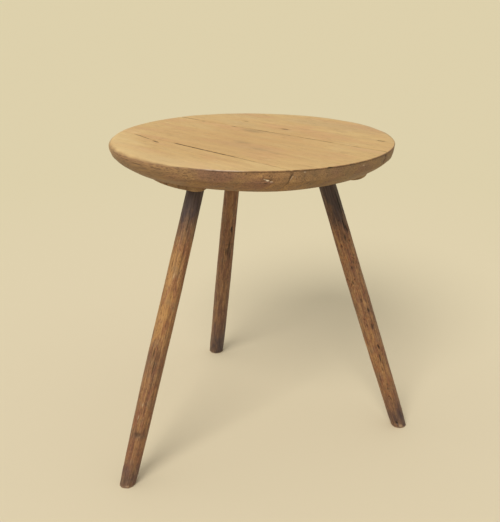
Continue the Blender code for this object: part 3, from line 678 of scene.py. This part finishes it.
# Splits, knocks and worm holes that can be told apart: height, bearing in degrees, half
# length, half width, depth, and how dark; below zero is pale
SCARS = {
    "left": ((0.262, -76, 0.022, 0.0016, 0.001, 0.7), (0.292, -94, 0.014, 0.0016, 0.0008, 0.6),
             (0.12, -86, 0.006, 0.008, 0.0006, 0.5), (0.45, -84, 0.007, 0.0014, -0.0003, -0.7),
             (0.184, -88, 0.005, 0.0016, -0.0003, -0.6), (0.157, -100, 0.006, 0.0016, -0.0003, -0.6),
             (0.478, -58, 0.05, 0.0012, 0.0006, 0.5), (0.55, -68, 0.026, 0.0012, 0.001, 0.7),
             (0.004, -70, 0.003, 0.005, 0.0004, -0.5)),
    "right": ((0.56, -36, 0.034, 0.0016, 0.0018, 1.0), (0.513, -44, 0.016, 0.002, 0.002, 1.0),
              (0.502, -32, 0.012, 0.0026, 0.002, 1.0), (0.483, -61, 0.012, 0.0016, 0.0012, 0.9),
              (0.414, -73, 0.006, 0.0018, 0.0012, 0.9), (0.427, -52, 0.005, 0.0016, 0.001, 0.8),
              (0.378, -92, 0.005, 0.0018, 0.001, 0.8), (0.336, -76, 0.005, 0.002, 0.0012, 0.6),
              (0.312, -50, 0.007, 0.002, 0.002, 0.9), (0.272, -56, 0.009, 0.0022, 0.0016, 0.8),
              (0.274, -86, 0.006, 0.0016, 0.001, 0.5), (0.22, -52, 0.008, 0.0024, 0.0022, 0.9),
              (0.192, -65, 0.014, 0.0014, 0.0012, 0.9), (0.16, -67, 0.006, 0.0018, 0.0012, 0.6),
              (0.122, -69, 0.005, 0.0018, 0.0012, 0.6), (0.111, -75, 0.004, 0.0016, 0.001, 0.8),
              (0.083, -73, 0.005, 0.0018, 0.001, 0.6), (0.015, -88, 0.0045, 0.0036, 0.003, 1.0),
              (0.006, -62, 0.005, 0.005, 0.0004, -0.6)),
    "back": ((0.417, -46, 0.011, 0.0028, 0.002, 1.0), (0.371, -52, 0.024, 0.0016, 0.0016, 1.0),
             (0.351, -75, 0.012, 0.0014, 0.0012, 0.9), (0.34, -40, 0.018, 0.0014, 0.0012, 0.9),
             (0.352, -62, 0.016, 0.0012, 0.001, 0.8), (0.372, -66, 0.0016, 0.013, 0.0008, 0.5)),
}

# Shaved oak, never sanded, waxed and smoked dark: a soft sheen, with open pores, worm and flecks.
# Painted shade darkens the legs under the top and on their shaded side, and painted light makes their lit
# side golden
shaved_oak, tree, shader = new_material("shaved oak", {"IOR": 1.5, "Specular IOR Level": 0.4})
place = add_node(tree, "Attribute", attribute_name="grain").outputs["Vector"]
year_rings, fibres, streaks = wood_figure(
    tree, place, ring_width=0.0034, fibre_width=0.0018, streak_width=0.0055)
# Flecks of 2 mm, mottling of 9 mm, tints of 22 mm, and worm holes 4 mm apart, in clusters of 36 mm
along_grain, along_worm = [
    add_node(tree, "VectorMath", {0: place, 1: (1.0, 1.0, squeeze)}, operation="MULTIPLY").outputs[0]
    for squeeze in (0.3, 0.45)]
flecks, mottle, tint, cluster, worm = [
    add_node(tree, "TexNoise",
             {"Vector": vector, "Scale": scale, "Detail": detail, "Roughness": roughness}).outputs["Fac"]
    for vector, scale, detail, roughness in (
        (along_grain, 420.0, 3.0, 0.65), (along_grain, 110.0, 4.0, 0.5), (place, 45.0, 3.0, 0.5),
        (place, 28.0, 1.0, 0.5), (along_worm, 240.0, 1.0, 0.5))]
pitted, soot_and_shade = [add_node(tree, "Attribute", attribute_name=name).outputs["Fac"]
                for name in ("pitted", "soot_and_shade")]
for pattern, share in ((cluster, 0.4), (pitted, 0.1)):
    worm = add_node(tree, "Math", {0: pattern, 1: share, 2: worm}, operation="MULTIPLY_ADD").outputs[0]
patchy = add_node(tree, "MapRange", {"Value": mottle, "From Min": 0.35, "From Max": 0.65,
                                     "To Min": -0.18, "To Max": 0.18}).outputs["Result"]
soot_and_shade = add_node(tree, "Math", {0: patchy, 1: soot_and_shade}, operation="ADD").outputs[0]
# Where soot and painted shade lie, the wood turns to a near-black like old wax
wax_and_shade = lay_over(tree, "#2D2228", ("#4C4042", fibres, 0.62, 0.34, 1.0))
colour = add_node(tree, "ValToRGB", {"Fac": streaks}, stops=(
    (0.28, "#6A462B"), (0.42, "#8A5E3B"), (0.55, "#9C6F45"), (0.72, "#AE8352"))).outputs["Color"]
# The gold is partly worn wood and partly painted light, and the soot layer is partly painted shade
colour = lay_over(
    tree, colour, ("#BC8C50", "gold", 0.0, 1.0, 1.0), ("#985835", mottle, 0.48, 0.62, 0.5),
    ("#806B50", tint, 0.52, 0.66, 0.35), ("#6E4C32", year_rings, 0.3, 1.0, 0.2),
    ("#402A1D", fibres, 0.48, 0.66, 0.5), ("#C79E6C", fibres, 0.44, 0.3, 0.3),
    ("#33211A", flecks, 0.56, 0.66, 0.6), ("#CCA26E", flecks, 0.42, 0.32, 0.4),
    ("#AE6836", worm, 0.92, 1.02, 0.5), (wax_and_shade, soot_and_shade, 0.0, 1.0, 0.92),
    ("#1E120D", worm, 1.01, 1.06, 0.8), ("#1A110D", "dirt", 0.0, 1.0, 0.95),
    ("#CDB08A", "pale", 0.0, 1.0, 0.75))
dress(tree, shader, colour, mottle, (0.42, 0.62), fibres, flecks, bump_strength=0.6, bump_depth=0.0006)

for side, top, foot, radii, wedge_way, seed in LEGS:
    foot_point = Vector((foot[0], foot[1], 0.0)) + TOP_PLACE
    top_point = Vector((top[0], top[1], SHOULDER)) + TOP_PLACE
    up = (top_point - foot_point).normalized()
    along = (Vector(wedge_way) - up * up.dot(Vector(wedge_way))).normalized()
    across = up.cross(along)
    frame_at_foot = Matrix.Translation(foot_point) @ Matrix((along, across, up)).transposed().to_4x4()
    swell = radii[1] - (radii[0] + radii[2]) / 2
    form = bmesh.new()
    layers = [form.verts.layers.float.new(name) for name in ("soot_and_shade", "gold", "pitted", "dirt", "pale")]
    turns = [tau * at / LEG_SIDES for at in range(LEG_SIDES)]
    outs = [along * cos(turn) + across * sin(turn) for turn in turns]
    flats = [tau * (at + 0.5 * wave(at * 1.7, 0, 0, seed)) / LEG_FLATS for at in range(LEG_FLATS)]
    heights = [FOOT_SOFT + (SHOULDER - FOOT_SOFT) * step / LEG_RINGS for step in range(LEG_RINGS + 1)]
    loops = []
    for z in (*FOOT_RINGS, *heights):
        share, run = z / SHOULDER, z / up.z
        belly = radii[0] + (radii[2] - radii[0]) * share + swell * sin(pi * share)
        # Above the foot the flats lie around the solid's own size, not only inside it
        grow = 0.0006 * ramp(0.008, 0.03, z)
        depths = [FLAT_SHARE + FLAT_CHANGE * wave(at * 2.3, run * 6.0, 0, seed) for at in range(LEG_FLATS)]
        twist = 0.25 * sin(run * 5.0 + seed)
        bow = BOW_WAY * read_table(BOW[side], z)
        scars = [scar for scar in SCARS[side] if abs(scar[0] - z) < scar[2] * 1.3]
        loop = []
        for turn, out in zip(turns, outs):
            cosine, sine = cos(turn), sin(turn)
            bearing = degrees(atan2(out.y, out.x))
            radius = belly
            for flat, depth in zip(flats, depths):
                facing = cos(turn + twist - flat)
                if facing > 0.8:
                    radius = min(radius, belly * depth / facing)
            # The foot's edge is worn round, and the tool left shallow hollows everywhere
            radius += grow - 0.0014 * ramp(FOOT_SOFT, 0.0, z) * wave(cosine * 3, sine * 3, 0, seed)
            radius -= 0.0007 * wave(cosine * 6.0, sine * 6.0, run * 22, seed)
            radius -= 0.0005 * wave(cosine * 14.0, sine * 14.0, run * 70, seed)
            dirt, pale = 0.0, 0.55 * ramp(0.005, 0.0015, z) * wave(cosine * 3, sine * 3, 0, seed + 9)
            for scar_z, scar_bearing, half_length, half_width, scar_depth, darkness in scars:
                off = radians(turn_between(bearing, scar_bearing)) * radius / half_width
                off += 1.4 * (wave(z * 110, scar_z * 50, 0, seed) - 0.5)
                hole = ramp(1.25, 0.35, hypot(off, (z - scar_z) / half_length))
                radius -= scar_depth * hole
                dirt, pale = max(dirt, darkness * hole), max(pale, -darkness * hole)
            vert = form.verts.new(foot_point + bow + up * ((z - radius * out.z) / up.z) + out * radius)
            # Painted light: the gold lies on the left-front side, which faces the lamps, partly as worn wood
            lit_and_worn = ramp(-35.0, -70.0, bearing) * ramp(-175.0, -150.0, bearing)
            # Painted shade: the soot is made thicker towards the leg's right, the side in shade
            side_shade_factor = 1.0 + SIDE_SHADE[side] * cos(radians(bearing + 30.0))
            values = (side_shade_factor * read_table(SOOT_AND_SHADE[side], z), lit_and_worn * read_table(GOLD[side], z), PITTED[side],
                      dirt, pale)
            for layer, value in zip(layers, values):
                vert[layer] = value
            loop.append(vert)
        loops.append(loop)
    for step in range(5):
        z = SHOULDER + (BATTEN_TOP - SHOULDER) * step / 4
        loops.append([form.verts.new(foot_point + up * ((z - TENON_RADIUS * out.z) / up.z)
                                     + out * TENON_RADIUS) for out in outs])
    join_loops(form, loops)
    form.faces.new(loops[0])
    form.faces.new(loops[-1])
    to_grain = Matrix.Translation((0.045 + 0.01 * (seed - 21), 0.02, 0.0)) @ frame_at_foot.inverted()
    leg = finish_mesh(form, f"shaved_leg_{side}", [shaved_oak], to_grain)
    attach(leg, "root")
    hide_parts(f"leg_{side}")


# Two battens hold the boards flat and take the legs: sawn planks, never planed, brown with
# age. The long one runs along Y, and the short one meets it. Its free end is shaved below.
SAW_STEP = 0.009  # how finely the faces are cut for the saw's marks
SHAVED_FROM, SHAVED_RUN, SHAVED_DEPTH = 0.186, 0.026, 0.0052
sawn_oak, tree, shader = new_material("sawn oak", {"Specular IOR Level": 0.3})
place = add_node(tree, "Attribute", attribute_name="grain").outputs["Vector"]
fibres, streaks = wood_figure(tree, place, ring_width=0.004, fibre_width=0.0018, streak_width=0.012)[1:]
patches = add_node(tree, "TexNoise", {"Vector": place, "Scale": 80.0, "Detail": 5.0,
                                      "Roughness": 0.65}).outputs["Fac"]
colour = add_node(tree, "ValToRGB", {"Fac": streaks}, stops=(
    (0.3, "#7C6045"), (0.5, "#9C7B58"), (0.7, "#B39067"))).outputs["Color"]
# The paler coat on the right-hand end is painted light
colour = lay_over(
    tree, colour, ("#5A4130", fibres, 0.44, 0.66, 0.55), ("#B3946C", patches, 0.56, 0.7, 0.45),
    ("#54402F", patches, 0.44, 0.32, 0.5), ("#B09570", "rub_and_painted_light", 0.0, 1.0, 0.7))
dress(tree, shader, colour, patches, (0.68, 0.8), fibres, patches, bump_strength=0.7, bump_depth=0.0006)

for name, batten_axes in (("long_batten", ((1, 0, 0), (0, 0, 1), (0, 1, 0))),
                          ("short_batten", ((0, 1, 0), (0, 0, 1), (1, 0, 0)))):
    low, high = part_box(name)
    form = bmesh.new()
    form.from_mesh(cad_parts[name].data)
    bmesh.ops.remove_doubles(form, verts=form.verts, dist=0.00002)
    bmesh.ops.dissolve_limit(form, angle_limit=radians(0.5), verts=form.verts, edges=form.edges)
    for axis in (0, 1):
        for step in range(1, int((high[axis] - low[axis]) / SAW_STEP)):
            point, normal = Vector(low), Vector((0.0, 0.0, 0.0))
            point[axis] += SAW_STEP * step
            normal[axis] = 1.0
            cut(form, point, normal)
    for share in (0.3, 0.5, 0.7):
        cut(form, UPWARDS * (low.z + (high.z - low.z) * share), UPWARDS)
    form.normal_update()
    rub_and_painted_light = form.verts.layers.float.new("rub_and_painted_light")
    for vert in form.verts:
        x, y, z = vert.co
        # The right-hand end stands out past the legs, and is painted paler above its lower edge: painted
        # light, as only the room's light reaches it
        vert[rub_and_painted_light] = ramp(0.155, 0.185, x) * ramp(low.z, low.z + 0.006, z)
        if vert.normal.z > 0.3:
            continue
        # Its lower side is shaved away towards the end
        shaved = max(0.0, (x - SHAVED_FROM) / SHAVED_RUN) ** 2
        vert.co.z += SHAVED_DEPTH * shaved * ramp(high.z - 0.004, low.z, z)
        saw = wave(x * 30, y * 30, z * 60, 31) * 0.0005 + wave(x * 7, y * 7, z * 7, 32) * 0.0006
        if vert.normal.z > -0.9:
            saw += 0.0006 * wave(x * 40, y * 40, z * 90, 33)
        vert.co -= vert.normal * saw
    to_grain = Matrix.Translation((0.11, 0.05 - high.z, 0.0)) @ Matrix(batten_axes).to_4x4()
    batten = finish_mesh(form, f"sawn_{name}", [sawn_oak], to_grain)
    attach(batten, "root")
    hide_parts(name)


# Wedges and dowels are riven from oak offcuts and never finished, so they keep the colour of
# fresh-split wood under the dust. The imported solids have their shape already.
riven_oak, tree, shader = new_material("riven oak", {})
place = add_node(tree, "TexCoord").outputs["Object"]
year_rings, fibres, streaks = wood_figure(
    tree, place, ring_width=0.003, fibre_width=0.001, streak_width=0.006)
colour = lay_over(tree, "#B89368", ("#86653F", fibres, 0.35, 0.7, 0.5))
dress(tree, shader, colour, streaks, (0.68, 0.78), fibres, year_rings, bump_strength=0.8, bump_depth=0.0005)
for name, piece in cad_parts.items():
    if "wedge" in name or "dowel" in name:
        piece.data.materials.clear()
        piece.data.materials.append(riven_oak)

# Forged nails hold the battens to the boards: square tapered shanks, and rose heads hammered
# into rough facets. Their iron is black with scale and a little rust.
HEAD_RADIUS, HEAD_RISE, HEAD_SIDES = 0.005, 0.0022, 10
SHANK_TOP, SHANK_TIP = 0.0021, 0.0005
forged_iron, tree, shader = new_material("forged iron", {"Metallic": 1.0, "Roughness": 0.62})
place = add_node(tree, "TexCoord").outputs["Object"]
scale_marks = add_node(tree, "TexNoise",
                       {"Vector": place, "Scale": 500.0, "Detail": 4.0}).outputs["Fac"]
colour = lay_over(tree, "#3A3431", ("#6A4630", scale_marks, 0.45, 0.65, 1.0))
tree.links.new(colour, shader.inputs["Base Color"])
bump = add_node(tree, "Bump", {"Height": scale_marks, "Strength": 0.6, "Distance": 0.0004})
tree.links.new(bump.outputs[0], shader.inputs["Normal"])
for number, name in enumerate(sorted(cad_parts)):
    if "nail" not in name:
        continue
    low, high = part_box(name)
    centre = (low + high) / 2
    form = bmesh.new()
    # The head: a low crown of facets over a flat seat, as loops of (share of the radius, height)
    reaches = [(tau * at / HEAD_SIDES, HEAD_RADIUS * (0.86 + 0.14 * wave(at * 1.3, 0, 0, 40 + number)))
               for at in range(HEAD_SIDES)]
    loops = [[form.verts.new((centre.x + cos(turn) * reach * share,
                              centre.y + sin(turn) * reach * share, low.z + HEAD_RISE * rise))
              for turn, reach in reaches]
             for share, rise in ((0.94, 1.0), (1.0, 0.8), (0.93, 0.5), (0.48, 0.12))]
    join_loops(form, loops)
    crown = form.verts.new((centre.x, centre.y, low.z))
    for at in range(HEAD_SIDES):
        form.faces.new((loops[-1][at], loops[-1][(at + 1) % HEAD_SIDES], crown))
    form.faces.new(loops[0])
    # The shank: a square that tapers to a blunt point
    twist = 0.3 * wave(number * 3.1, 0, 0, 50)
    turns = [twist + tau * (at + 0.5) / 4 for at in range(4)]
    squares = [[form.verts.new((centre.x + half * cos(turn), centre.y + half * sin(turn), height))
                for turn in turns] for half, height in ((SHANK_TOP, low.z + HEAD_RISE * 0.7),
                                                        (SHANK_TOP * 0.9, centre.z), (SHANK_TIP, high.z))]
    join_loops(form, squares)
    form.faces.new(squares[0])
    form.faces.new(squares[-1])
    nail = finish_mesh(form, f"forged_{name}", [forged_iron], Matrix.Identity(4), 20.0)
    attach(nail, "root")
    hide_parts(name)
